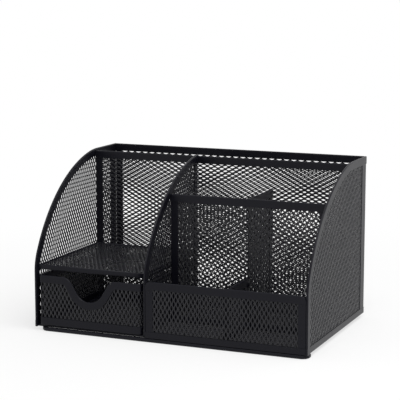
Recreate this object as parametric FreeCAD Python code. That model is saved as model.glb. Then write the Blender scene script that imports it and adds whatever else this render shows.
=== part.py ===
# Desk organiser of black expanded-steel mesh, with one drawer.
#
# The object stands on two bent foot rails. On a framed base panel stand two outer side panels and a
# middle panel of the same curved profile, a back panel, and a slot panel in front of it that makes
# the rear letter slot. A shelf over the drawer bay carries notes. To the right, a pen panel and a low
# front panel make two pen compartments and two small trays, each pair parted by a divider.
# Every panel is a sheet of diamond mesh whose edge is held in a folded steel strip.
# The drawer is a mesh box with a finger scoop in its front, and slides out along -Y.
#
# Frame: millimetres, +Z up, X along the width, the front faces -Y. The origin is on the desk, under
# the middle of the overall box.
import FreeCAD, Part
import math
import os

# ---------------------------------------------------------------- overall size
overall_width = 220.0
overall_depth = 140.0
overall_height = 129.0

# ---------------------------------------------------------------- folded edge strip
sheet_gauge = 0.4        # steel sheet that the strip is folded from
strip_width = 6.0        # how far a strip reaches over the mesh
wide_strip_width = 10.0  # the strip along the back corner of an outer side panel
base_strip_width = 5.0   # the strip along the foot of an upright panel

# ---------------------------------------------------------------- mesh
diamond_short = 3.45     # diamond size from crossing to crossing, the short way
diamond_long = 6.25      # and the long way
strand_width = 1.1       # each strand has a three-sided section with its flat face on the mid-plane
strand_thickness = 0.4   # height of that section: the two crossing layers meet at their flat faces
mesh_edge_gap = 0.2      # from the cut edge of the mesh to the fold of the strip

# ---------------------------------------------------------------- curved side profile
front_edge_height = 45.4      # top of the straight front edge, above the desk
brow_radius = 34.0            # small curve above the straight edge
brow_end_angle = 63.0         # slope where the small curve meets the long one, in degrees
shoulder_angle = 12.0         # slope where the long curve meets the shoulder
shoulder_radius = 80.0        # curve that runs into the level top

# ---------------------------------------------------------------- foot rails
rail_height = 3.0
rail_depth = 3.0
rail_corner_radius = 6.0
rail_return = 8.0        # length of the bent-back end, with its corner
rail_inset = 4.2         # one end stops this far inside a side panel's outer face, the other is flush

# ---------------------------------------------------------------- dividing of the inside
middle_panel_x = -18.5   # left face of the middle panel
slot_depth = 35.8        # clear depth of the rear letter slot
slot_panel_drop = 1.6    # the slot panel's top is this far under the side panels' top
pen_panel_y = -23.0      # front face of the pen panel
pen_panel_height = 104.7
front_panel_height = 46.0
tray_divider_drop = 1.6  # the tray divider's top is this far under the front panel's top

# ---------------------------------------------------------------- shelf
shelf_top = 51.0
shelf_flange = 3.8       # height of the shelf's folded rim
shelf_setback = 4.0      # from the front of the side panels to the shelf

# ---------------------------------------------------------------- drawer
drawer_side_gap = 1.6
drawer_back_gap = 1.5
drawer_floor_gap = 0.2   # running clearance over the base panel
drawer_top = 43.5
drawer_bottom_strip = 6.0
drawer_top_strip = 5.7
scoop_depth = 17.9
scoop_radius = 12.0
scoop_lip_radius = 8.0
scoop_slope = 58.0       # slope of the scoop's sides, in degrees

# ---------------------------------------------------------------- places worked out from the above
strip_thickness = 2 * sheet_gauge + 2 * strand_thickness
left = -overall_width / 2
right = overall_width / 2
front = -overall_depth / 2
back = overall_depth / 2
inside_left = left + strip_thickness
inside_right = right - strip_thickness
inside_back = back - strip_thickness
frame_bottom = rail_height
floor_top = frame_bottom + strip_thickness
slot_panel_y = inside_back - slot_depth - strip_thickness
middle_right = middle_panel_x + strip_thickness
mesh_inset = sheet_gauge + mesh_edge_gap
arc_steps = 6            # points along each curve where the mesh and its slot are cut to it
OVERRUN = 1.0            # how far a cutting body runs past what it cuts
POINT_GAP = 0.001        # points closer than this are one point

# A panel lies in one of three planes. Each maps panel coordinates (u, v) and a depth n to X, Y, Z.
SIDE, FRONT, FLOOR = "side", "front", "floor"


def place(plane, u, v, n):
    if plane == SIDE:
        return FreeCAD.Vector(n, u, v)
    if plane == FRONT:
        return FreeCAD.Vector(u, n, v)
    return FreeCAD.Vector(u, v, n)


def thickness_vector(plane, length):
    return place(plane, 0, 0, length)


def prism(plane, points, n_low, n_high):
    """A body with a straight-sided outline, from depth n_low to n_high."""
    corners = [place(plane, u, v, n_low) for u, v in points]
    face = Part.Face(Part.makePolygon(corners + corners[:1]))
    return face.extrude(thickness_vector(plane, n_high - n_low))


def curved_prism(plane, outline, n_low, n_high):
    """A body whose outline is a list of lines (a, b) and arcs (a, middle, b)."""
    edges = []
    for piece in outline:
        ends = [place(plane, u, v, n_low) for u, v in piece]
        if len(ends) == 2:
            edges.append(Part.LineSegment(*ends).toShape())
        else:
            edges.append(Part.Arc(*ends).toShape())
    face = Part.Face(Part.Wire(edges))
    return face.extrude(thickness_vector(plane, n_high - n_low))


def rectangle(u_low, u_high, v_low, v_high):
    return [(u_low, v_low), (u_high, v_low), (u_high, v_high), (u_low, v_high)]


def save(name, solids):
    """Writes one node from one or more separate solids."""
    shape = solids[0] if len(solids) == 1 else Part.makeCompound(solids)
    shape.exportStep(os.path.join("parts", name + ".step"))


# ---------------------------------------------------------------- mesh

def inside_spans(outline, origin, along):
    """Stretches (start, end) of a straight line that lie inside a closed outline of points."""
    across = (-along[1], along[0])
    crossings = []
    for here, after in zip(outline, outline[1:] + outline[:1]):
        a = (here[0] - origin[0]) * across[0] + (here[1] - origin[1]) * across[1]
        b = (after[0] - origin[0]) * across[0] + (after[1] - origin[1]) * across[1]
        if (a < 0) != (b < 0):
            t = a / (a - b)
            u = here[0] + t * (after[0] - here[0]) - origin[0]
            v = here[1] + t * (after[1] - here[1]) - origin[1]
            crossings.append(u * along[0] + v * along[1])
    crossings.sort()
    return list(zip(crossings[::2], crossings[1::2]))


def overlap(spans, others):
    both = [(max(a, c), min(b, d)) for a, b in spans for c, d in others]
    return [(start, end) for start, end in both if end > start]


def shifted(point, direction, distance):
    return (point[0] + distance * direction[0], point[1] + distance * direction[1])


def strand(plane, start, end, across, flat, ridge):
    """One strand: its flat face lies at depth flat and its ridge at depth ridge."""
    low, high = shifted(start, across, -strand_width / 2), shifted(start, across, strand_width / 2)
    section = [place(plane, *low, flat), place(plane, *high, flat), place(plane, *start, ridge)]
    run = place(plane, end[0] - start[0], end[1] - start[1], 0)
    return Part.Face(Part.makePolygon(section + section[:1])).extrude(run)


def strand_layer(plane, outline, window, pitches, lean, flat, ridge):
    """The strands of one layer, leaning by lean (+1 or -1), each cut square inside the outline.
    A strand that would lie wholly inside the folded strips, clear of their window, is left out."""
    pitch_u, pitch_v = pitches
    slope_length = math.hypot(pitch_u, pitch_v)
    along = (lean * pitch_u / slope_length, pitch_v / slope_length)
    across = (-along[1], along[0])
    middle_u = (min(u for u, v in outline) + max(u for u, v in outline)) / 2
    middle_v = (min(v for u, v in outline) + max(v for u, v in outline)) / 2
    reach = max(math.hypot(u - middle_u, v - middle_v) for u, v in outline)
    count = int(reach * slope_length / (pitch_u * pitch_v)) + 1
    strands = []
    for step in range(-count, count + 1):
        on_line = (middle_u + step * pitch_u, middle_v)
        spans = inside_spans(outline, on_line, along)
        for side in (-1, 1):
            edge = shifted(on_line, across, side * strand_width / 2)
            spans = overlap(spans, inside_spans(outline, edge, along))
        for start, end in spans:
            if overlap([(start, end)], inside_spans(window, on_line, along)):
                ends = shifted(on_line, along, start), shifted(on_line, along, end)
                strands.append(strand(plane, *ends, across, flat, ridge))
    return strands


def mesh_strands(plane, outline, window, n_low, long_way="v"):
    """Both layers of a mesh sheet that lies in the middle of a strip starting at depth n_low.
    The diamonds' long way runs along v, or along u."""
    pitches = (diamond_short, diamond_long) if long_way == "v" else (diamond_long, diamond_short)
    flat = n_low + strip_thickness / 2
    rising = strand_layer(plane, outline, window, pitches, 1, flat, flat - strand_thickness)
    falling = strand_layer(plane, outline, window, pitches, -1, flat, flat + strand_thickness)
    return rising + falling


# ---------------------------------------------------------------- folded strips

def fold(plane, strip, slot_points, n_low):
    """A strip body with the slot for the mesh edge cut out of it."""
    slot_low = n_low + sheet_gauge
    slot_high = n_low + strip_thickness - sheet_gauge
    return strip.cut(prism(plane, slot_points, slot_low, slot_high))


def framed_panel(name, plane, u_range, v_range, n_low, strips=None, long_way="v"):
    """A rectangular mesh sheet with a mitred strip along each edge."""
    low_u, high_u, low_v, high_v = strips or (strip_width,) * 4
    outer = rectangle(*u_range, *v_range)
    inner = rectangle(u_range[0] + low_u, u_range[1] - high_u, v_range[0] + low_v, v_range[1] - high_v)
    slot = rectangle(u_range[0] + sheet_gauge, u_range[1] - sheet_gauge,
                     v_range[0] + sheet_gauge, v_range[1] - sheet_gauge)
    rim = []
    for i in range(4):
        j = (i + 1) % 4
        strip = prism(plane, [outer[i], outer[j], inner[j], inner[i]], n_low, n_low + strip_thickness)
        rim.append(fold(plane, strip, slot, n_low))
    mesh_outline = rectangle(u_range[0] + mesh_inset, u_range[1] - mesh_inset,
                             v_range[0] + mesh_inset, v_range[1] - mesh_inset)
    save(name + "_rim", rim)
    save(name + "_mesh", mesh_strands(plane, mesh_outline, inner, n_low, long_way))


# ---------------------------------------------------------------- curved profile of the side panels

def long_curve_radius():
    """Radius of the long curve, so that the profile ends at the overall height."""
    brow = math.radians(brow_end_angle)
    shoulder = math.radians(shoulder_angle)
    rise = overall_height - front_edge_height
    rise -= brow_radius * math.cos(brow) + shoulder_radius * (1 - math.cos(shoulder))
    return rise / (math.cos(shoulder) - math.cos(brow))


def profile_curves(inset, rear):
    """The profile's curves from the front edge towards the top, as lists of points along each.
    The curve that reaches y = rear ends there."""
    start = (front, front_edge_height)
    turns = ((90.0, brow_end_angle, brow_radius),
             (brow_end_angle, shoulder_angle, long_curve_radius()),
             (shoulder_angle, 0.0, shoulder_radius))
    curves = []
    for angle_a, angle_b, radius in turns:
        a, b = math.radians(angle_a), math.radians(angle_b)
        centre = (start[0] + radius * math.sin(a), start[1] - radius * math.cos(a))
        start = (centre[0] - radius * math.sin(b), centre[1] + radius * math.cos(b))
        turn_radius = radius - inset
        last = b
        if centre[0] - turn_radius * math.sin(b) > rear:
            last = math.asin((centre[0] - rear) / turn_radius)
        angles = [a + (last - a) * step / arc_steps for step in range(arc_steps + 1)]
        curves.append([(centre[0] - turn_radius * math.sin(angle),
                        centre[1] + turn_radius * math.cos(angle)) for angle in angles])
        if last > b:
            break
    return curves


def profile_path(inset, bottom, rear):
    """Lines and arcs of the profile from the foot of the front edge to the rear end of the top."""
    curves = profile_curves(inset, rear)
    middle = arc_steps // 2
    path = [((front + inset, bottom), curves[0][0])]
    path += [(points[0], points[middle], points[-1]) for points in curves]
    curve_end = curves[-1][-1]
    if rear - curve_end[0] > POINT_GAP:
        path.append((curve_end, (rear, curve_end[1])))
    return path


def backwards(path):
    return [piece[::-1] for piece in reversed(path)]


def profile_points(inset, low, far):
    """Points round a side panel, from v = low to u = far, drawn in by inset from its front and top."""
    curves = profile_curves(inset, far)
    points = [(front + inset, low)] + [point for curve in curves for point in curve]
    return points + [(far, curves[-1][-1][1]), (far, low)]


def curved_panel(name, n_low, bottom, rear, rear_strip):
    """A mesh panel with the curved profile: one bent strip up the front and over the top,
    one strip down the back and one along the foot."""
    outer = profile_path(0, bottom, rear)
    inner_low, inner_rear = bottom + base_strip_width, rear - rear_strip
    inner = profile_path(strip_width, inner_low, inner_rear)
    top_outer, top_inner = outer[-1][-1], inner[-1][-1]
    foot_outer, foot_inner = outer[0][0], inner[0][0]
    rear_outer, rear_inner = (rear, bottom), (inner_rear, inner_low)
    bent = outer + [(top_outer, top_inner)] + backwards(inner) + [(foot_inner, foot_outer)]
    n_high = n_low + strip_thickness
    bodies = [curved_prism(SIDE, bent, n_low, n_high),
              prism(SIDE, [top_outer, rear_outer, rear_inner, top_inner], n_low, n_high),
              prism(SIDE, [foot_outer, foot_inner, rear_inner, rear_outer], n_low, n_high)]
    slot = profile_points(sheet_gauge, bottom + sheet_gauge, rear - sheet_gauge)
    save(name + "_rim", [fold(SIDE, body, slot, n_low) for body in bodies])
    sheet = profile_points(mesh_inset, bottom + mesh_inset, rear - mesh_inset)
    window = profile_points(strip_width, inner_low, inner_rear)
    save(name + "_mesh", mesh_strands(SIDE, sheet, window, n_low))


def side_panels():
    curved_panel("left_side", left, frame_bottom, back, wide_strip_width)
    curved_panel("right_side", inside_right, frame_bottom, back, wide_strip_width)
    curved_panel("middle_panel", middle_panel_x, floor_top, slot_panel_y, strip_width)


# ---------------------------------------------------------------- upright and level panels

def upright_panels():
    inside = (inside_left, inside_right)
    foot = (strip_width, strip_width, base_strip_width, strip_width)
    framed_panel("back_panel", FRONT, inside, (frame_bottom, overall_height), inside_back,
                 foot, long_way="u")
    framed_panel("slot_panel", FRONT, inside, (floor_top, overall_height - slot_panel_drop),
                 slot_panel_y, foot, long_way="u")
    bay = (middle_right, inside_right)
    framed_panel("pen_panel", FRONT, bay, (floor_top, pen_panel_height), pen_panel_y, foot)
    framed_panel("front_panel", FRONT, bay, (frame_bottom, front_panel_height), front, foot)


def dividers():
    divider_x = (middle_right + inside_right - strip_thickness) / 2
    foot = (strip_width, strip_width, base_strip_width, strip_width)
    framed_panel("pen_divider", SIDE, (pen_panel_y + strip_thickness, slot_panel_y),
                 (floor_top, pen_panel_height), divider_x, foot)
    framed_panel("tray_divider", SIDE, (front + strip_thickness, pen_panel_y),
                 (floor_top, front_panel_height - tray_divider_drop), divider_x, foot)


def base_panel():
    depth_range = (front + strip_thickness, inside_back)
    framed_panel("base_panel", FLOOR, (inside_left, inside_right), depth_range, frame_bottom,
                 long_way="u")


def shelf():
    """A level mesh sheet in a deep rim: the rim's bars stand on edge, with the mesh let into them."""
    u_range = (inside_left, middle_panel_x)
    v_range = (front + shelf_setback, slot_panel_y)
    outer = rectangle(*u_range, *v_range)
    inner = rectangle(u_range[0] + strip_thickness, u_range[1] - strip_thickness,
                      v_range[0] + strip_thickness, v_range[1] - strip_thickness)
    seat = rectangle(u_range[0] + sheet_gauge, u_range[1] - sheet_gauge,
                     v_range[0] + sheet_gauge, v_range[1] - sheet_gauge)
    mesh_low = shelf_top - 2 * strand_thickness
    groove = prism(FLOOR, seat, mesh_low, shelf_top + OVERRUN)
    rim = []
    for i in range(4):
        j = (i + 1) % 4
        corners = [outer[i], outer[j], inner[j], inner[i]]
        bar = prism(FLOOR, corners, shelf_top - shelf_flange, shelf_top)
        rim.append(bar.cut(groove))
    save("shelf_rim", rim)
    mesh_outline = rectangle(u_range[0] + mesh_inset, u_range[1] - mesh_inset,
                             v_range[0] + mesh_inset, v_range[1] - mesh_inset)
    save("shelf_mesh", mesh_strands(FLOOR, mesh_outline, inner, mesh_low - sheet_gauge))


# ---------------------------------------------------------------- foot rails

def foot_rail(name, x_low, x_high, y_outer, inward):
    """A bent rail along y_outer. inward is +1 for the front rail and -1 for the rear one."""
    r_out, r_in = rail_corner_radius, rail_corner_radius - rail_depth
    y_in = y_outer + inward * rail_depth
    y_end = y_outer + inward * rail_return
    y_centre = y_outer + inward * r_out

    def bend(x_centre, side, radius):
        """Quarter turn from the end's outer face to the rail's outer face."""
        half = radius * math.sqrt(0.5)
        return ((x_centre + side * radius, y_centre),
                (x_centre + side * half, y_centre - inward * half),
                (x_centre, y_centre - inward * radius))

    left_centre, right_centre = x_low + r_out, x_high - r_out
    outer_left, inner_left = bend(left_centre, -1, r_out), bend(left_centre, -1, r_in)
    outer_right, inner_right = bend(right_centre, 1, r_out), bend(right_centre, 1, r_in)
    outline = [((x_low, y_end), outer_left[0]), outer_left,
               (outer_left[2], outer_right[2]), outer_right[::-1],
               (outer_right[0], (x_high, y_end)),
               ((x_high, y_end), (x_high - rail_depth, y_end)),
               ((x_high - rail_depth, y_end), inner_right[0]), inner_right,
               ((right_centre, y_in), (left_centre, y_in)), inner_left[::-1],
               (inner_left[0], (x_low + rail_depth, y_end)),
               ((x_low + rail_depth, y_end), (x_low, y_end))]
    save(name, [curved_prism(FLOOR, outline, 0, rail_height)])


def foot_rails():
    """The rear rail is the front rail turned round."""
    foot_rail("front_foot_rail", left + rail_inset, right, front, 1)
    foot_rail("rear_foot_rail", left, right - rail_inset, back, -1)


# ---------------------------------------------------------------- drawer

def scoop_path(u_low, u_high, top, inset):
    """Top edge of the drawer front with its scoop, drawn in by inset: lines and arcs, left to right."""
    centre_u = (u_low + u_high) / 2
    slope = math.radians(scoop_slope)
    bottom_radius, lip_radius = scoop_radius + inset, scoop_lip_radius - inset
    dip_v = top - scoop_depth + scoop_radius
    lip_v = top - scoop_lip_radius
    straight = scoop_depth - (scoop_radius + scoop_lip_radius) * (1 - math.cos(slope))
    half = (scoop_radius + scoop_lip_radius) * math.sin(slope) + straight / math.tan(slope)

    def lip(side, angle):
        return (centre_u + side * (half - lip_radius * math.sin(angle)),
                lip_v + lip_radius * math.cos(angle))

    def dip(side, angle):
        return (centre_u + side * bottom_radius * math.sin(angle), dip_v - bottom_radius * math.cos(angle))

    left_lip = (lip(-1, 0), lip(-1, slope / 2), lip(-1, slope))
    right_lip = (lip(1, slope), lip(1, slope / 2), lip(1, 0))
    bottom = (dip(-1, slope), dip(-1, 0), dip(1, slope))
    edge_v = top - inset
    return [((u_low, edge_v), left_lip[0]), left_lip, (left_lip[2], bottom[0]), bottom,
            (bottom[2], right_lip[0]), right_lip, (right_lip[2], (u_high, edge_v))]


def drawer_front(u_range, bottom):
    """The drawer's front: mesh held by a strip along the foot and by one that follows the scoop."""
    n_low, n_high = front, front + strip_thickness
    u_low, u_high = u_range
    upper = scoop_path(u_low, u_high, drawer_top, 0)
    lower = scoop_path(u_low, u_high, drawer_top, drawer_top_strip)
    band = upper + [(upper[-1][-1], lower[-1][-1])] + backwards(lower) + [(lower[0][0], upper[0][0])]
    slot = scoop_points((u_low - OVERRUN, u_high + OVERRUN), bottom + sheet_gauge, sheet_gauge)
    foot = prism(FRONT, rectangle(u_low, u_high, bottom, bottom + drawer_bottom_strip), n_low, n_high)
    save("drawer_front_scoop_rim", [fold(FRONT, curved_prism(FRONT, band, n_low, n_high), slot, n_low)])
    save("drawer_front_foot_rim", [fold(FRONT, foot, slot, n_low)])

    sheet = scoop_points(u_range, bottom + mesh_inset, mesh_inset)
    window = scoop_points(u_range, bottom + drawer_bottom_strip, drawer_top_strip)
    save("drawer_front_mesh", mesh_strands(FRONT, sheet, window, n_low))


def scoop_points(u_range, low, inset):
    """Points round the drawer front, from v = low up to the scoop's edge drawn in by inset."""
    points = [(u_range[0], low)]
    for piece in scoop_path(*u_range, drawer_top, inset):
        if len(piece) == 2:
            points.append(piece[0])
        else:
            arc = Part.Arc(*[FreeCAD.Vector(u, v, 0) for u, v in piece]).toShape()
            points += [(p.x, p.y) for p in arc.discretize(arc_steps + 1)[:-1]]
    return points + [(u_range[1], drawer_top - inset), (u_range[1], low)]


def drawer_wall(name, plane, u_range, bottom, n_low):
    """A plain drawer wall: mesh with a strip along its top and one along its foot."""
    n_high = n_low + strip_thickness
    u_low, u_high = u_range
    slot = rectangle(u_low - OVERRUN, u_high + OVERRUN, bottom + sheet_gauge, drawer_top - sheet_gauge)
    bands = ((bottom, bottom + drawer_bottom_strip), (drawer_top - drawer_top_strip, drawer_top))
    rim = [fold(plane, prism(plane, rectangle(u_low, u_high, *band), n_low, n_high), slot, n_low)
           for band in bands]
    save(name + "_rim", rim)
    sheet = rectangle(u_low, u_high, bottom + mesh_inset, drawer_top - mesh_inset)
    window = rectangle(u_low, u_high, bands[0][1], bands[1][0])
    save(name + "_mesh", mesh_strands(plane, sheet, window, n_low))


def drawer():
    u_low = inside_left + drawer_side_gap
    u_high = middle_panel_x - drawer_side_gap
    y_rear = slot_panel_y - drawer_back_gap
    bottom = floor_top + drawer_floor_gap
    y_inner = front + strip_thickness
    drawer_front((u_low, u_high), bottom)
    drawer_wall("drawer_left", SIDE, (y_inner, y_rear), bottom, u_low)
    drawer_wall("drawer_right", SIDE, (y_inner, y_rear), bottom, u_high - strip_thickness)
    inner_u = (u_low + strip_thickness, u_high - strip_thickness)
    drawer_wall("drawer_back", FRONT, inner_u, bottom, y_rear - strip_thickness)
    framed_panel("drawer_floor", FLOOR, inner_u, (y_inner, y_rear - strip_thickness), bottom,
                 long_way="u")


def main():
    os.makedirs("parts", exist_ok=True)
    side_panels()
    upright_panels()
    dividers()
    base_panel()
    shelf()
    foot_rails()
    drawer()


main()
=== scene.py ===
# %% [markdown]
# # A mesh desk organiser, built in steel the way it is made
#
# The real object is pressed and folded from thin black steel: sheets of diamond mesh, each with its raw
# edge gripped in a folded strip, spot-welded into a box with a drawer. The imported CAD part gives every
# panel's place and size. Here each panel is built again with the shapes that the eye looks for: strands
# that share knuckles, strips with a round fold and two thin leaves, and a coat of satin powder.

import math

import bpy
import numpy as np
from mathutils import Matrix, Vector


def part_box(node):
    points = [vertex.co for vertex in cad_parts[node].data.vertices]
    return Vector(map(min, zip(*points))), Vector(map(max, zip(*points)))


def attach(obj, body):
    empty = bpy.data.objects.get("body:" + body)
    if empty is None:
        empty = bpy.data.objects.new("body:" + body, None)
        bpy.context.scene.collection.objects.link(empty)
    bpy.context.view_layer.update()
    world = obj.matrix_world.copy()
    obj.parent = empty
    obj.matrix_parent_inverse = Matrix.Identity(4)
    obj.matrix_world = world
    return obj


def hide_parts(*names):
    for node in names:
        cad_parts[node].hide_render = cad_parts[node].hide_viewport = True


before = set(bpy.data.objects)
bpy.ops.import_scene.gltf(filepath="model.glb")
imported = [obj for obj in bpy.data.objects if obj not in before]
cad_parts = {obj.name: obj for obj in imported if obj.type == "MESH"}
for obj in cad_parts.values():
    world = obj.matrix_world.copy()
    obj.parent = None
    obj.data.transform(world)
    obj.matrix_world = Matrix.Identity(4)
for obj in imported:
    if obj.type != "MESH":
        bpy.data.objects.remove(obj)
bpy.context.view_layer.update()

# %% [markdown]
# ## Panel coordinates
#
# Every panel is flat, so it is easiest to draw it flat. A point has u and v across the panel and n
# through its thickness, all in millimetres. Only at the end does a panel turn into its place in the
# room. The three kinds of panel differ in nothing but which axis each coordinate becomes.

# %% From a flat panel to its place
MM = 0.001
AXES = {"side": (1, 2, 0), "front": (0, 2, 1), "floor": (0, 1, 2)}   # room axis of u, of v and of n


def in_room(points, plane):
    """A panel's (u, v, n) points as points in the room."""
    placed = np.empty_like(points)
    for column, axis in enumerate(AXES[plane]):
        placed[:, axis] = points[:, column]
    return placed


def panel_box(node, plane):
    """((u low, u high), (v low, v high), (n low, n high)) of a CAD node, in millimetres."""
    low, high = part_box(node)
    return tuple((low[axis] / MM, high[axis] / MM) for axis in AXES[plane])


def signed_volume(points, faces):
    """The volume that the faces close in, below zero where they are turned inwards."""
    total = 0.0
    for count in {len(face) for face in faces}:
        loops = points[np.array([face for face in faces if len(face) == count])]
        for i in range(1, count - 1):
            total += np.einsum("ij,ij->", loops[:, 0], np.cross(loops[:, i], loops[:, i + 1]))
    return total / 6


def make_piece(name, points, faces, body, stands_for, material):
    """One visible piece from room points in millimetres. Its faces are turned to look outwards."""
    if signed_volume(points, faces) < 0:
        faces = [face[::-1] for face in faces]
    mesh = bpy.data.meshes.new(name)
    mesh.from_pydata((points * MM).tolist(), [], faces)
    mesh.polygons.foreach_set("use_smooth", [True] * len(faces))
    mesh.materials.append(material)
    piece = bpy.data.objects.new(name, mesh)
    bpy.context.scene.collection.objects.link(piece)
    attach(piece, body)
    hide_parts(*stands_for)
    print(f"{name}: {len(points)} points, {len(faces)} faces")


def gather(shells):
    """Several (points, faces) shells as one."""
    points, faces, start = [], [], 0
    for shell_points, shell_faces in shells:
        points.append(shell_points)
        faces += [tuple(i + start for i in face) for face in shell_faces]
        start += len(shell_points)
    return np.concatenate(points), faces


print("left side, in millimetres:", panel_box("left_side_rim", "side"))

# %% [markdown]
# ## Black powder coat
#
# The steel is sprayed with black powder and baked. The coat flows a little before it sets, which leaves
# a faint orange-peel surface and a satin shine. Nearly all that the eye sees of it is reflection, so the
# base stays very dark and plain, and noise drives the roughness and a shallow bump.

# %% Powder coat materials
COAT_COLOUR = (0.0050, 0.0050, 0.0085, 1.0)
STRIP_SHINE = 0.16       # of the shader's specular level: a matting agent in the powder dulls it
MESH_SHINE = 0.36        # more than a strip's, so that the narrow strands still show their glints
CLOUD_SCALE = 60.0       # of the slow change in roughness, in clouds a metre


def powder_coat(name, shine, roughness, roughness_spread, peel_size, peel_depth):
    """The coat as a material. peel_size and peel_depth are those of its orange peel, in millimetres."""
    material = bpy.data.materials.new(name)
    material.use_nodes = True
    nodes, links = material.node_tree.nodes, material.node_tree.links
    shader = nodes["Principled BSDF"]
    shader.inputs["Base Color"].default_value = COAT_COLOUR
    shader.inputs["Specular IOR Level"].default_value = shine
    place = nodes.new("ShaderNodeTexCoord")

    cloud = nodes.new("ShaderNodeTexNoise")
    cloud.inputs["Scale"].default_value = CLOUD_SCALE
    cloud.inputs["Detail"].default_value = 3.0
    links.new(place.outputs["Object"], cloud.inputs["Vector"])
    spread = nodes.new("ShaderNodeMapRange")
    spread.inputs["To Min"].default_value = roughness - roughness_spread
    spread.inputs["To Max"].default_value = roughness + roughness_spread
    links.new(cloud.outputs["Fac"], spread.inputs["Value"])
    links.new(spread.outputs["Result"], shader.inputs["Roughness"])

    peel = nodes.new("ShaderNodeTexNoise")
    peel.inputs["Scale"].default_value = 1.0 / (peel_size * MM)
    peel.inputs["Detail"].default_value = 2.0
    links.new(place.outputs["Object"], peel.inputs["Vector"])
    bump = nodes.new("ShaderNodeBump")
    bump.inputs["Strength"].default_value = 1.0
    bump.inputs["Distance"].default_value = peel_depth * MM
    links.new(peel.outputs["Fac"], bump.inputs["Height"])
    links.new(bump.outputs["Normal"], shader.inputs["Normal"])
    return material


strip_coat = powder_coat("strip_coat", STRIP_SHINE, roughness=0.34, roughness_spread=0.05,
                         peel_size=0.9, peel_depth=0.02)
mesh_coat = powder_coat("mesh_coat", MESH_SHINE, roughness=0.28, roughness_spread=0.05,
                        peel_size=0.6, peel_depth=0.012)
print("materials:", [m.name for m in bpy.data.materials])

# %% [markdown]
# ## Expanded mesh
#
# Expanded mesh is not woven. A press cuts staggered slits in a sheet and pulls it wide, so that each
# slit opens into a diamond. What is left between two rows of slits is one strand. It swings from a
# knuckle shared with the strand below to a knuckle shared with the strand above, and as it swings it
# leans over. A sheet for an organiser is then rolled, and little of the lean is left. Each strand here
# is a six-sided bar that runs in a zigzag, and at a knuckle two strands share their points. Crossed
# wires would be easier, but they would miss the broad knuckles where one strand becomes two.

# %% Expanded mesh: sizes
DIAMOND_SHORT = 3.45     # knuckle to knuckle, the short way
DIAMOND_LONG = 6.25      # knuckle to knuckle, the long way
KNUCKLE = 1.25           # length of a knuckle
STRAND_WIDTH = 0.9
STRAND_GAUGE = 0.5
STRAND_LEAN = math.radians(2)   # what is left of the lean after the sheet is rolled flat
EDGE_ROUND = 0.22        # share of the half width that is rounded off


def inside(points, outline):
    """True for each (u, v) point that lies inside a closed outline."""
    u, v = points[..., 0], points[..., 1]
    found = np.zeros(u.shape, bool)
    for (u1, v1), (u2, v2) in zip(outline, np.roll(outline, -1, axis=0)):
        if v1 != v2:
            found ^= ((v1 > v) != (v2 > v)) & (u < u1 + (v - v1) * (u2 - u1) / (v2 - v1))
    return found


print(f"diamonds: {DIAMOND_SHORT} x {DIAMOND_LONG} mm, strands: {STRAND_WIDTH} x {STRAND_GAUGE} mm")


# %% Expanded mesh: one sheet
def strand_points(across_middle, along, strands, joined_low):
    """Six points round each strand at each station, as (long way, short way, depth)."""
    lean = np.array([math.cos(STRAND_LEAN), math.sin(STRAND_LEAN)])
    half = lean * STRAND_WIDTH / 2
    row = strands[:, None] * DIAMOND_SHORT / 2 + across_middle
    centre = np.where(joined_low, row + half[0], row + DIAMOND_SHORT / 2 - half[0])
    rise = np.where(joined_low, half[1], -half[1])

    rounded = 1 - EDGE_ROUND
    share = np.empty(joined_low.shape + (6,))
    share[...] = (-1, -rounded, rounded, 1, rounded, -rounded)
    share[..., [1, 5]] = np.where(joined_low, -1, -rounded)[..., None]
    share[..., [2, 4]] = np.where(joined_low, rounded, 1)[..., None]
    side = np.array([0, 1, 1, 0, -1, -1]) * STRAND_GAUGE / 2

    points = np.empty(share.shape + (3,))
    points[..., 0] = along[None, :, None]
    points[..., 1] = centre[..., None] + share * half[0] - side * lean[1]
    points[..., 2] = rise[..., None] + share * half[1] + side * lean[0]
    return points


def strand_faces(ids, kept, joined_low):
    """Faces of the kept stretches. Where two strands share a knuckle there is no face between."""
    knuckle = (np.arange(kept.shape[1]) % 2 == 0)[None, :]
    below, above = np.zeros_like(kept), np.zeros_like(kept)
    below[1:], above[:-1] = kept[:-1], kept[1:]
    open_low = kept & ~(knuckle & joined_low[:, :-1] & below)
    open_high = kept & ~(knuckle & ~joined_low[:, :-1] & above)
    shown = (open_low, kept, open_high, open_high, kept, open_low)
    faces = []
    for side in range(6):
        after = (side + 1) % 6
        quad = np.stack([ids[:, :-1, side], ids[:, :-1, after], ids[:, 1:, after], ids[:, 1:, side]], -1)
        faces.append(quad[shown[side]])
    padded = np.pad(kept, ((0, 0), (1, 1)))
    starts = ids[padded[:, 1:] & ~padded[:, :-1]][:, ::-1]
    ends = ids[padded[:, :-1] & ~padded[:, 1:]]
    return np.concatenate(faces), np.concatenate([starts, ends])


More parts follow.
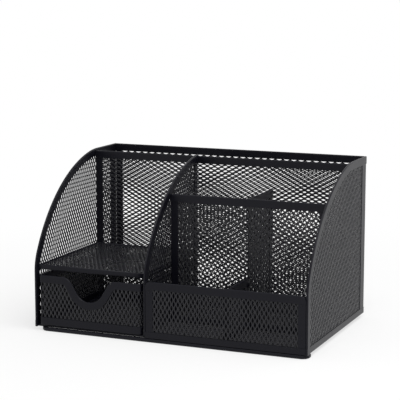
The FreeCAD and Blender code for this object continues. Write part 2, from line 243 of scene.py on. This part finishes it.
def diamond_sheet(outline, long_way, lean=1):
    """(u, v, n) points and faces of a sheet inside an outline. lean is 1 or -1: the way that the
    strands lean over."""
    order = [0, 1] if long_way == "u" else [1, 0]
    outline = np.array(outline, float)[:, order]
    low, high = outline.min(0), outline.max(0)
    middle = (low + high) / 2
    periods = int((high[0] - low[0]) / DIAMOND_LONG / 2) + 2
    rows = int((high[1] - low[1]) / DIAMOND_SHORT) + 2
    steps = np.array([-KNUCKLE, KNUCKLE, DIAMOND_LONG - KNUCKLE, DIAMOND_LONG + KNUCKLE]) / 2
    along = (np.arange(-periods, periods + 1)[:, None] * DIAMOND_LONG + steps).ravel() + middle[0]
    strands = np.arange(-rows, rows + 1)
    station = np.arange(len(along)) % 4
    joined_low = (station < 2)[None, :] == (strands % 2 == 0)[:, None]

    points = strand_points(middle[1], along, strands, joined_low)
    ids = np.arange(points[..., 0].size).reshape(points.shape[:3])
    shared = joined_low[1:]
    for low_point, high_point in ((0, 3), (1, 2), (5, 4)):
        ids[1:, :, low_point] = np.where(shared, ids[:-1, :, high_point], ids[1:, :, low_point])

    held = inside(points[..., :2].mean(2), outline)
    kept = held[:, :-1] & held[:, 1:]
    quads, caps = strand_faces(ids, kept, joined_low)
    used, numbers = np.unique(np.concatenate([quads.ravel(), caps.ravel()]), return_inverse=True)
    points = points.reshape(-1, 3)[used]
    points[:, 2] *= lean
    faces = numbers[:quads.size].reshape(-1, 4).tolist() + numbers[quads.size:].reshape(-1, 6).tolist()
    return points[:, order + [2]], faces


# %% [markdown]
# ## Folded strips
#
# A cut edge of mesh is all points, so a thin strip is folded over it, as a hem is over cloth. Two leaves
# lie flat on the mesh and meet in a round fold. The fold is what catches a line of light along every
# edge, and the leaves end in a thin step that shows the mesh going in between them. One section drawn
# once and carried along a path gives all of this. Strips that run top and bottom lie outermost, and the
# upright ones are tucked in under their ends.

# %% Folded strips: section and sweep
LEAF_GAUGE = 0.34
OUTER_HALF = 0.8         # half the thickness over an outermost strip
MIDDLE_HALF = 0.65       # over a side panel's foot strip, tucked under one strip and over another
TUCKED_HALF = 0.5        # and over a strip that is tucked under all it meets
FOLD_STEPS = 8
CUT_ROUND = 0.09         # rounding of a leaf's cut edge by the coat
FLAT_START = 0.15        # past the fold, a line of points keeps the leaf's shading flat
FLAT_END = 0.1           # and so does a ring of points just before each end


def fold_section(width, half):
    """Closed section as (distance in from the fold, depth)."""
    turns = [math.pi * (0.5 - step / FOLD_STEPS) for step in range(FOLD_STEPS + 1)]
    gap = half - LEAF_GAUGE
    fold = [(half - half * math.cos(t), half * math.sin(t)) for t in turns]
    throat = [(half - gap * math.cos(t), gap * math.sin(t)) for t in turns[::-1]]
    near = [(half + FLAT_START, -half), (width - 2 * CUT_ROUND, -half), (width - CUT_ROUND, -half),
            (width, CUT_ROUND - half), (width, -gap)]
    far = [(a, -n) for a, n in reversed(near)]
    return fold + near + throat + far


def join_rings(rings):
    """Points and faces of a body that runs through rings of points, closed at both ends."""
    count = len(rings[0])
    faces = []
    for i in range(len(rings) - 1):
        a, b = i * count, (i + 1) * count
        faces += [(a + j, a + (j + 1) % count, b + (j + 1) % count, b + j) for j in range(count)]
    last = (len(rings) - 1) * count
    faces += [tuple(reversed(range(count))), tuple(range(last, last + count))]
    return np.concatenate(rings), faces


def beside(ring, towards):
    """The ring moved by FLAT_END towards its neighbour."""
    run = towards - ring
    return ring + run * FLAT_END / np.linalg.norm(run, axis=1).max()


def strip(path, section):
    """A strip along a path of (point, inward) pairs in the panel's plane, with n from its middle."""
    rings = []
    for point, inward in path:
        rings.append(np.array([(point[0] + a * inward[0], point[1] + a * inward[1], n)
                               for a, n in section]))
    return join_rings([rings[0], beside(rings[0], rings[1])] + rings[1:-1] +
                      [beside(rings[-1], rings[-2]), rings[-1]])


def straight(start, end, inward):
    """A path of one straight run."""
    return [(start, inward), (end, inward)]


print("thickness over a strip, in millimetres:", 2 * OUTER_HALF, 2 * MIDDLE_HALF, 2 * TUCKED_HALF)

# %% [markdown]
# ## Flat panels
#
# Eight of the panels are rectangles, and one of them has its two top corners rounded. Each takes its
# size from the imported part, so that it fits its place exactly.

# %% Rectangular panels
SHEET_INSET = 1.0        # from the fold to the cut edge of the mesh
STRIP = 6.0              # width of a strip
FOOT_STRIP = 5.0         # and of the strip along an upright panel's foot
CORNER_STEPS = 6         # of a rounded corner


def rectangle(u_range, v_range, inset=0.0):
    """The corners of a rectangle over two ranges, moved in from each edge."""
    u1, u2 = u_range[0] + inset, u_range[1] - inset
    v1, v2 = v_range[0] + inset, v_range[1] - inset
    return [(u1, v1), (u2, v1), (u2, v2), (u1, v2)]


def top_strip(u_range, v_top, corner):
    """The strip along a panel's top edge, with its two outer corners rounded off."""
    if corner == 0:
        return strip(straight((u_range[0], v_top), (u_range[1], v_top), (0, -1)),
                     fold_section(STRIP, OUTER_HALF))
    turns = np.linspace(0, math.pi / 2, CORNER_STEPS + 1)
    steps = [(corner * (1 - math.cos(turn)), corner * (1 - math.sin(turn))) for turn in turns]
    stations = [(u_range[0] + along, drop) for along, drop in steps]
    stations += [(u_range[1] - along, drop) for along, drop in reversed(steps)]
    rings = []
    for u, drop in stations:
        section = fold_section(STRIP - drop, OUTER_HALF)
        rings.append(np.array([(u, v_top - drop - a, n) for a, n in section]))
    return join_rings(rings)


def rectangle_strips(u_range, v_range, foot, corner):
    """The four strips of a panel. foot is the width of the lowest, corner the radius of the top corners."""
    (u1, u2), (v1, v2) = u_range, v_range
    tucked = fold_section(STRIP, TUCKED_HALF)
    low, high = v1 + LEAF_GAUGE, v2 - max(corner, LEAF_GAUGE)
    return gather([
        top_strip(u_range, v2, corner),
        strip(straight((u1, v1), (u2, v1), (0, 1)), fold_section(foot, OUTER_HALF)),
        strip(straight((u1, low), (u1, high), (1, 0)), tucked),
        strip(straight((u2, low), (u2, high), (-1, 0)), tucked)])


def panel(name, plane, strips, sheet, depth, body="organiser"):
    """The strips and the sheet of one panel, each a piece, with the panel's middle at that depth."""
    for (points, faces), kind, node, material, slot in (
            (strips, "strips", "rim", strip_coat, "strip"), (sheet, "sheet", "mesh", mesh_coat, "mesh")):
        make_piece(f"{name}_{kind}", in_room(points + (0, 0, depth), plane), faces, body,
                   [f"{name}_{node}"], material)


def flat_panel(name, plane, long_way="v", foot=FOOT_STRIP, body="organiser", corner=0, more=()):
    """A rectangular panel. long_way is the way that its diamonds point, and more holds the shells that
    are added to its strips."""
    u_range, v_range, (n_low, n_high) = panel_box(name + "_rim", plane)
    sheet = diamond_sheet(rectangle(u_range, v_range, SHEET_INSET), long_way)
    strips = gather([rectangle_strips(u_range, v_range, foot, corner), *more])
    panel(name, plane, strips, sheet, (n_low + n_high) / 2, body)


flat_panel("back_panel", "front", "u")
flat_panel("slot_panel", "front", "u")
flat_panel("pen_panel", "front")
flat_panel("pen_divider", "side")
flat_panel("tray_divider", "side")
flat_panel("base_panel", "floor", "u", foot=STRIP)

# %% [markdown]
# ## Spot welds
#
# A machine squeezes each lap of two strips between two copper tips and passes a current through it. The
# steel melts together in a spot, and the coat lies over it as a low round bump. A ring of points that
# shrinks as it rises makes the dome, and its foot is sunk in the leaf so that no gap shows.

# %% Spot welds and the front panel
WELD_RADIUS, WELD_RISE, WELD_SUNK = 0.95, 0.35, 0.12
WELD_INSET = 3.3         # from a panel's outer edge
WELD_HEIGHTS = (14.4, 39.0)   # above the table
WELD_SIDES = 16
WELD_TURNS = np.radians((0, 25, 50, 75))   # up the dome, ring by ring


def weld(u, v, leaf, outwards):
    """A bump on a leaf at the depth given. outwards is 1 or -1: the way that the leaf faces."""
    turns = np.linspace(0, 2 * math.pi, WELD_SIDES, endpoint=False)
    dome = [(1.0, -WELD_SUNK)] + [(math.cos(a), WELD_RISE * math.sin(a)) for a in WELD_TURNS]
    rings = []
    for share, height in dome:
        radius = WELD_RADIUS * share
        rings.append(np.array([(u + radius * math.cos(turn), v + radius * math.sin(turn),
                                leaf + outwards * height) for turn in turns]))
    return join_rings(rings)


FRONT_CORNER = 3.6       # radius of the front panel's top corners
(u_low, u_high), _, _ = panel_box("front_panel_rim", "front")
front_welds = [weld(u, v, -TUCKED_HALF, -1) for u in (u_low + WELD_INSET, u_high - WELD_INSET)
               for v in WELD_HEIGHTS]
flat_panel("front_panel", "front", corner=FRONT_CORNER, more=front_welds)

# %% [markdown]
# ## Curved side panels
#
# The two outer sides and the middle panel share one profile: upright at the front, then a tight curve,
# a long easy one, and a last turn into the level top. One strip is bent along all of it. A point on the
# path carries the direction that points into the panel, and the section follows that, so the strip
# keeps its width round the curve.

# %% Curved profile
OVERALL_HEIGHT = 129.0
FRONT_EDGE_HEIGHT = 45.4
BROW_RADIUS, BROW_END = 34.0, math.radians(63)
SHOULDER_RADIUS, SHOULDER_START = 80.0, math.radians(12)
REAR_STRIP = 10.0
CURVE_STEP = math.radians(2.5)


def profile(front, rear):
    """(point, inward) pairs from the top of the straight front edge to the rear end of the top."""
    rise = OVERALL_HEIGHT - FRONT_EDGE_HEIGHT - BROW_RADIUS * math.cos(BROW_END)
    rise -= SHOULDER_RADIUS * (1 - math.cos(SHOULDER_START))
    long_radius = rise / (math.cos(SHOULDER_START) - math.cos(BROW_END))
    path, start = [], (front, FRONT_EDGE_HEIGHT)
    for a, b, radius in ((math.pi / 2, BROW_END, BROW_RADIUS), (BROW_END, SHOULDER_START, long_radius),
                         (SHOULDER_START, 0.0, SHOULDER_RADIUS)):
        centre = (start[0] + radius * math.sin(a), start[1] - radius * math.cos(a))
        last = b if centre[0] - radius * math.sin(b) < rear else math.asin((centre[0] - rear) / radius)
        steps = max(1, round((a - last) / CURVE_STEP))
        for turn in np.linspace(a, last, steps + 1)[1 if path else 0:]:
            inward = (math.sin(turn), -math.cos(turn))
            path.append(((centre[0] - radius * inward[0], centre[1] - radius * inward[1]), inward))
        start = path[-1][0]
        if last > b:
            path[-1] = (start, (0.0, -1 / math.cos(last)))
            return path
    return path + [((rear, OVERALL_HEIGHT), (0.0, -1.0))]


def curved_panel(name, rear_strip, lean):
    """A panel with the curved profile. rear_strip is the width of the strip down its rear edge."""
    (front, rear), (low, _), (n_low, n_high) = panel_box(name + "_rim", "side")
    top = profile(front, rear)
    bent = [((front, low), (1.0, 0.0))] + top
    outer = fold_section(STRIP, OUTER_HALF)
    rear_top = top[-1][0][1] - LEAF_GAUGE
    strips = gather([
        strip(bent, outer),
        strip(straight((front, low), (rear, low), (0, 1)), fold_section(FOOT_STRIP, MIDDLE_HALF)),
        strip(straight((rear, low + LEAF_GAUGE), (rear, rear_top), (-1, 0)),
              fold_section(rear_strip, TUCKED_HALF))])

    edge = [(p[0] + SHEET_INSET * m[0], p[1] + SHEET_INSET * m[1]) for p, m in top]
    sheet_rear, sheet_low = rear - SHEET_INSET, low + SHEET_INSET
    edge = [p for p in edge if p[0] < sheet_rear]
    outline = [(front + SHEET_INSET, sheet_low)] + edge
    outline += [(sheet_rear, edge[-1][1]), (sheet_rear, sheet_low)]
    panel(name, "side", strips, diamond_sheet(outline, "v", lean), (n_low + n_high) / 2)


curved_panel("left_side", REAR_STRIP, -1)
curved_panel("right_side", REAR_STRIP, 1)
curved_panel("middle_panel", STRIP, -1)

# %% [markdown]
# ## Shelf
#
# The note shelf is a sheet let into a rim of strip that stands on edge and carries the load to the side
# panels. Its top edge is folded, and so is round.

# %% Shelf
RIM_GAUGE = 1.2
RIM_ROUND = 0.45
ROUND_STEPS = 3          # of a bar's rounded corner
SHELF_SHEET_DROP = 0.9   # from the rim's top to the middle of the sheet


def bar_section(height, gauge, round_by):
    """Section of a bar on edge as (distance in, height below the top), with its corners rounded."""
    turns = np.linspace(0, math.pi / 2, ROUND_STEPS + 1)
    corners = ((round_by, -round_by, math.pi / 2), (round_by, round_by - height, math.pi),
               (gauge - round_by, round_by - height, -math.pi / 2), (gauge - round_by, -round_by, 0))
    return [(a + round_by * math.cos(t + start), n + round_by * math.sin(t + start))
            for a, n, start in corners for t in turns]


def mitred_frame(u_range, v_range):
    """(corner, inward) pairs round a rectangle, first corner again at the end."""
    corners = rectangle(u_range, v_range)
    inward = [(1, 1), (-1, 1), (-1, -1), (1, -1)]
    return list(zip(corners + corners[:1], inward + inward[:1]))


u_range, v_range, (n_low, n_high) = panel_box("shelf_rim", "floor")
shelf_rim = strip(mitred_frame(u_range, v_range), bar_section(n_high - n_low, RIM_GAUGE, RIM_ROUND))
shelf_sheet = diamond_sheet(rectangle(u_range, v_range, RIM_GAUGE / 2), "v")
shelf_sheet = (shelf_sheet[0] - (0, 0, SHELF_SHEET_DROP), shelf_sheet[1])
panel("shelf", "floor", shelf_rim, shelf_sheet, n_high)

# %% [markdown]
# ## Foot rails
#
# The organiser stands on two rails whose ends turn back under it with an easy bend.

# %% Foot rails
RAIL_RADIUS = 6.0        # of the bend, on the outside
RAIL_DEPTH = 3.0
RAIL_ROUND = 0.9
BEND_STEPS = 8


def rail_path(x_range, y_outer, y_end):
    """(point, inward) pairs from one bent-back end, along the rail, to the other."""
    towards = 1 if y_end > y_outer else -1
    path = []
    for x, side in zip(x_range, (-1, 1)):
        bend = []
        for turn in np.linspace(0, math.pi / 2, BEND_STEPS + 1):
            point = (x + side * RAIL_RADIUS * (math.sin(turn) - 1),
                     y_outer + towards * RAIL_RADIUS * (1 - math.cos(turn)))
            bend.append((point, (-side * math.sin(turn), towards * math.cos(turn))))
        bend.append(((x, y_end), (-side, 0)))
        path += bend[::-1] if side < 0 else bend
    return path


for rail in ("front_foot_rail", "rear_foot_rail"):
    x_range, y_range, (z_low, z_high) = panel_box(rail, "floor")
    ends = y_range if rail.startswith("front") else y_range[::-1]
    section = bar_section(z_high - z_low, RAIL_DEPTH, RAIL_ROUND)
    points, faces = strip(rail_path(x_range, *ends), section)
    make_piece(rail.replace("_rail", "_bar"), points + (0, 0, z_high), faces, "organiser", [rail],
               strip_coat)

# %% [markdown]
# ## Drawer
#
# The drawer's four walls are one long band of mesh, bent round the corners and joined at the back, with
# a strip along its foot and one along its top that dips for a finger at the front. It is drawn flat, as
# a band of that length, and then wound round the drawer's plan, so that mesh and strips turn each
# corner together.

# %% Drawer: plan and scoop
DRAWER_CORNER = 2.6      # radius of the middle of the wall at a corner
DRAWER_FOOT, DRAWER_TOP_STRIP = 6.0, 5.7
SCOOP_DEPTH, SCOOP_SLOPE = 17.9, math.radians(58)
SCOOP_RADIUS, SCOOP_STEPS = 12.0, 12     # of the hollow
LIP_RADIUS, LIP_STEPS = 8.0, 10          # of the turn into the level edge

(drawer_left, drawer_right), (_, drawer_high), (drawer_front, _) = panel_box(
    "drawer_front_scoop_rim", "front")
drawer_low = panel_box("drawer_front_foot_rim", "front")[1][0]
drawer_back = panel_box("drawer_back_rim", "front")[2][1]
plan_x = (drawer_left + OUTER_HALF, drawer_right - OUTER_HALF)
plan_y = (drawer_front + OUTER_HALF, drawer_back - OUTER_HALF)
side_run = plan_y[1] - plan_y[0] - 2 * DRAWER_CORNER
front_run = plan_x[1] - plan_x[0] - 2 * DRAWER_CORNER
corner_run = DRAWER_CORNER * math.pi / 2
# Straight runs and corners from the middle of the front to the seam at the back.
half_round = (front_run / 2, corner_run, side_run, corner_run, front_run / 2)
band_length = 2 * sum(half_round)
print(f"band round the drawer: {band_length:.1f} mm")


def wind(points):
    """Turns (distance along the band, height, depth outwards) into room points. The band's middle is
    the middle of the drawer's front."""
    s, n = np.abs(points[:, 0]), points[:, 2]
    x, y, done = np.zeros_like(s), np.zeros_like(s), 0.0
    at, heading = np.array([0.0, plan_y[0]]), 0.0
    for number, run in enumerate(half_round):
        here = (s >= done) if number == len(half_round) - 1 else (s >= done) & (s < done + run)
        t = s[here] - done
        ahead = np.array([math.cos(heading), math.sin(heading)])
        out = np.array([ahead[1], -ahead[0]])
        if number % 2:
            turn = t / DRAWER_CORNER
            centre = at - out * DRAWER_CORNER
            reach = DRAWER_CORNER + n[here]
            x[here] = centre[0] + reach * (out[0] * np.cos(turn) + ahead[0] * np.sin(turn))
            y[here] = centre[1] + reach * (out[1] * np.cos(turn) + ahead[1] * np.sin(turn))
            at = centre + ahead * DRAWER_CORNER
            heading += math.pi / 2
        else:
            x[here] = at[0] + ahead[0] * t + out[0] * n[here]
            y[here] = at[1] + ahead[1] * t + out[1] * n[here]
            at = at + ahead * run
        done += run
    middle = (plan_x[0] + plan_x[1]) / 2
    return np.stack([middle + np.where(points[:, 0] < 0, -x, x), y, points[:, 1]], 1)


def scoop_path():
    """(point, inward) pairs of the band's top edge across the scoop, from left to right."""
    straight_drop = SCOOP_DEPTH - (SCOOP_RADIUS + LIP_RADIUS) * (1 - math.cos(SCOOP_SLOPE))
    half = (SCOOP_RADIUS + LIP_RADIUS) * math.sin(SCOOP_SLOPE) + straight_drop / math.tan(SCOOP_SLOPE)
    right = []
    for turn in np.linspace(0, SCOOP_SLOPE, SCOOP_STEPS + 1):
        rise = SCOOP_RADIUS * (1 - math.cos(turn))
        point = (SCOOP_RADIUS * math.sin(turn), drawer_high - SCOOP_DEPTH + rise)
        right.append((point, (math.sin(turn), -math.cos(turn))))
    for turn in np.linspace(SCOOP_SLOPE, 0, LIP_STEPS + 1):
        point = (half - LIP_RADIUS * math.sin(turn), drawer_high - LIP_RADIUS * (1 - math.cos(turn)))
        right.append((point, (math.sin(turn), -math.cos(turn))))
    left = [((-p[0], p[1]), (-m[0], m[1])) for p, m in right[:0:-1]]
    return left + right


# %% Drawer: band and floor
def wall_stations(after):
    """Distances along the band as far as the seam, with close steps round the corners."""
    stops, done = [], 0.0
    for number, run in enumerate(half_round):
        steps = CORNER_STEPS if number % 2 else 1
        stops += [done + run * step / steps for step in range(steps)]
        done += run
    return [s for s in stops + [band_length / 2] if s > after]


scoop = scoop_path()
past_scoop = wall_stations(scoop[-1][0][0])
top_right = [((s, drawer_high), (0, -1)) for s in past_scoop]
top_left = [((-s, drawer_high), (0, -1)) for s in reversed(past_scoop)]
foot_right = [((s, drawer_low), (0, 1)) for s in [0.0] + wall_stations(0.0)]
foot_left = [((-p[0], p[1]), m) for p, m in foot_right[:0:-1]]
band_top = top_left + scoop + top_right
band_strips = gather([strip(band_top, fold_section(DRAWER_TOP_STRIP, OUTER_HALF)),
                      strip(foot_left + foot_right, fold_section(DRAWER_FOOT, OUTER_HALF))])


def band_outline(inset, stretch):
    """Outline of the band's mesh, drawn flat, with its length times stretch."""
    seam = band_length / 2 * stretch
    top = [(stretch * (p[0] + inset * m[0]), p[1] + inset * m[1]) for p, m in band_top]
    return [(-seam, drawer_low + inset)] + top + [(seam, drawer_low + inset)]


# Whole diamonds have to fit round the drawer, or the knuckles wouldn't meet at the seam.
diamonds_round = round(band_length / DIAMOND_SHORT)
stretch = diamonds_round * DIAMOND_SHORT / band_length
print("diamonds round the drawer:", diamonds_round)
band_sheet = diamond_sheet(band_outline(SHEET_INSET, stretch), "v")
band_sheet = (band_sheet[0] / (stretch, 1, 1), band_sheet[1])
wall_rims = ["drawer_front_scoop_rim", "drawer_front_foot_rim", "drawer_left_rim", "drawer_right_rim",
             "drawer_back_rim"]
wall_meshes = ["drawer_front_mesh", "drawer_left_mesh", "drawer_right_mesh", "drawer_back_mesh"]
make_piece("drawer_strips", wind(band_strips[0]), band_strips[1], "drawer", wall_rims, strip_coat)
make_piece("drawer_sheet", wind(band_sheet[0]), band_sheet[1], "drawer", wall_meshes, mesh_coat)
flat_panel("drawer_floor", "floor", "u", foot=STRIP, body="drawer")

# %% [markdown]
# ## Studio
#
# A white table in a white room, with one broad lamp above and a weaker one to the right and behind. A
# dark satin surface shows the room more than the lamps, so straight and reflected rays find white all
# round, while the light that falls on the object stays at a plain level. Near the object the straight
# rays see less of that white and more of the painted floor, so that the shadow shows.

# %% Floor
FLOOR_HALF = 6.0         # metres from the middle to an edge of the floor
FLOOR_PAINT = (0.93, 0.93, 0.93, 1.0)
SHADOW_REACH = 0.12      # metres from the middle over which the floor shows the most of its shadow


def number_node(tree, operation, first, second):
    """The result of an operation on two numbers or sockets."""
    node = tree.nodes.new("ShaderNodeMath")
    node.operation = operation
    for socket, value in zip(node.inputs, (first, second)):
        if isinstance(value, (int, float)):
            socket.default_value = value
        else:
            tree.links.new(value, socket)
    return node.outputs["Value"]


def white_floor(white_reach, least_white, reflected_white):
    """A white floor. Straight rays see least_white of plain white near the object, so that its shadow
    shows, and all of it from white_reach on. Reflected rays see reflected_white of it everywhere."""
    mesh = bpy.data.meshes.new("floor")
    corners = rectangle((-FLOOR_HALF, FLOOR_HALF), (-FLOOR_HALF, FLOOR_HALF))
    mesh.from_pydata([(x, y, 0) for x, y in corners], [], [(0, 1, 2, 3)])
    floor = bpy.data.objects.new("floor", mesh)
    bpy.context.scene.collection.objects.link(floor)
    paint = bpy.data.materials.new("floor_white")
    paint.use_nodes = True
    tree = paint.node_tree
    shader, output = tree.nodes["Principled BSDF"], tree.nodes["Material Output"]
    shader.inputs["Base Color"].default_value = FLOOR_PAINT
    shader.inputs["Roughness"].default_value = 0.9
    shader.inputs["Specular IOR Level"].default_value = 0.0
    place = tree.nodes.new("ShaderNodeTexCoord")
    distance = tree.nodes.new("ShaderNodeVectorMath")
    distance.operation = "LENGTH"
    tree.links.new(place.outputs["Object"], distance.inputs[0])
    share = tree.nodes.new("ShaderNodeMapRange")
    share.interpolation_type = "SMOOTHSTEP"
    share.inputs["From Min"].default_value = SHADOW_REACH
    share.inputs["From Max"].default_value = white_reach
    share.inputs["To Min"].default_value = least_white
    tree.links.new(distance.outputs["Value"], share.inputs["Value"])
    rays = tree.nodes.new("ShaderNodeLightPath")
    straight = number_node(tree, "MULTIPLY", share.outputs["Result"], rays.outputs["Is Camera Ray"])
    reflected = number_node(tree, "MULTIPLY", rays.outputs["Is Glossy Ray"], reflected_white)
    white = tree.nodes.new("ShaderNodeEmission")
    either = tree.nodes.new("ShaderNodeMixShader")
    tree.links.new(number_node(tree, "MAXIMUM", straight, reflected), either.inputs["Fac"])
    tree.links.new(shader.outputs["BSDF"], either.inputs[1])
    tree.links.new(white.outputs["Emission"], either.inputs[2])
    tree.links.new(either.outputs["Shader"], output.inputs["Surface"])
    mesh.materials.append(paint)


white_floor(white_reach=0.5, least_white=0.65, reflected_white=0.95)
print("floor:", 2 * FLOOR_HALF, "metres across")


# %% Lamps
def stand(thing, place, back):
    """Puts a lamp or a camera at a place, level, with its back turned that way."""
    back = np.array(back, float) / np.linalg.norm(back)
    across = np.cross((0, 0, 1), back)
    across /= np.linalg.norm(across)
    turn = Matrix(np.column_stack([across, np.cross(back, across), back]).tolist()).to_4x4()
    thing.matrix_world = Matrix.Translation(place) @ turn
    bpy.context.scene.collection.objects.link(thing)


def soft_lamp(name, place, aim, size, watts):
    """A rectangular lamp at a place, turned to shine at aim, all in metres."""
    light = bpy.data.lights.new(name, "AREA")
    light.shape = "RECTANGLE"
    light.size, light.size_y = size
    light.energy = watts
    stand(bpy.data.objects.new(name, light), place, np.subtract(place, aim))


soft_lamp("lamp_above", place=(0.5, -0.4, 1.3), aim=(0, 0, 0.05), size=(1.2, 0.8), watts=13)
soft_lamp("lamp_right", place=(1.4, 1.1, 0.6), aim=(0, 0, 0.06), size=(1.4, 0.8), watts=5)
print("lamps:", [light.name for light in bpy.data.lights])


# %% World
def studio_world(strength):
    """Even light, and white where a straight or reflected ray meets the background."""
    world = bpy.data.worlds.new("studio")
    bpy.context.scene.world = world
    world.use_nodes = True
    tree = world.node_tree
    light = tree.nodes["Background"]
    light.inputs["Color"].default_value = (1, 1, 1, 1)
    light.inputs["Strength"].default_value = strength
    white = tree.nodes.new("ShaderNodeBackground")
    white.inputs["Color"].default_value = (1, 1, 1, 1)
    white.inputs["Strength"].default_value = 1.0
    rays = tree.nodes.new("ShaderNodeLightPath")
    seen = number_node(tree, "MAXIMUM", rays.outputs["Is Camera Ray"], rays.outputs["Is Glossy Ray"])
    either = tree.nodes.new("ShaderNodeMixShader")
    tree.links.new(seen, either.inputs["Fac"])
    tree.links.new(light.outputs["Background"], either.inputs[1])
    tree.links.new(white.outputs["Background"], either.inputs[2])
    tree.links.new(either.outputs["Shader"], tree.nodes["World Output"].inputs["Surface"])


studio_world(strength=0.55)
print("world:", bpy.context.scene.world.name)

# %% [markdown]
# ## Camera
#
# The camera stands to the right of the front and looks down a little. It is far back with a long lens,
# so that the sides stay close to parallel.

# %% Camera
CAMERA_PLACE = (0.4185, -0.99373, 0.27206)
CAMERA_AZIMUTH = math.radians(22.948)      # to the right of straight in front
CAMERA_ELEVATION = math.radians(9.189)
LENS, SENSOR_WIDTH = 127.33, 36.0          # millimetres

data = bpy.data.cameras.new("camera")
data.sensor_width, data.lens = SENSOR_WIDTH, LENS
data.clip_start, data.clip_end = 0.1, 30
camera = bpy.data.objects.new("camera", data)
level = math.cos(CAMERA_ELEVATION)
stand(camera, CAMERA_PLACE, (math.sin(CAMERA_AZIMUTH) * level, -math.cos(CAMERA_AZIMUTH) * level,
                             math.sin(CAMERA_ELEVATION)))
bpy.context.scene.camera = camera
bpy.context.scene.view_settings.view_transform = "Standard"
print("camera at", CAMERA_PLACE, "in metres, lens", LENS, "mm")
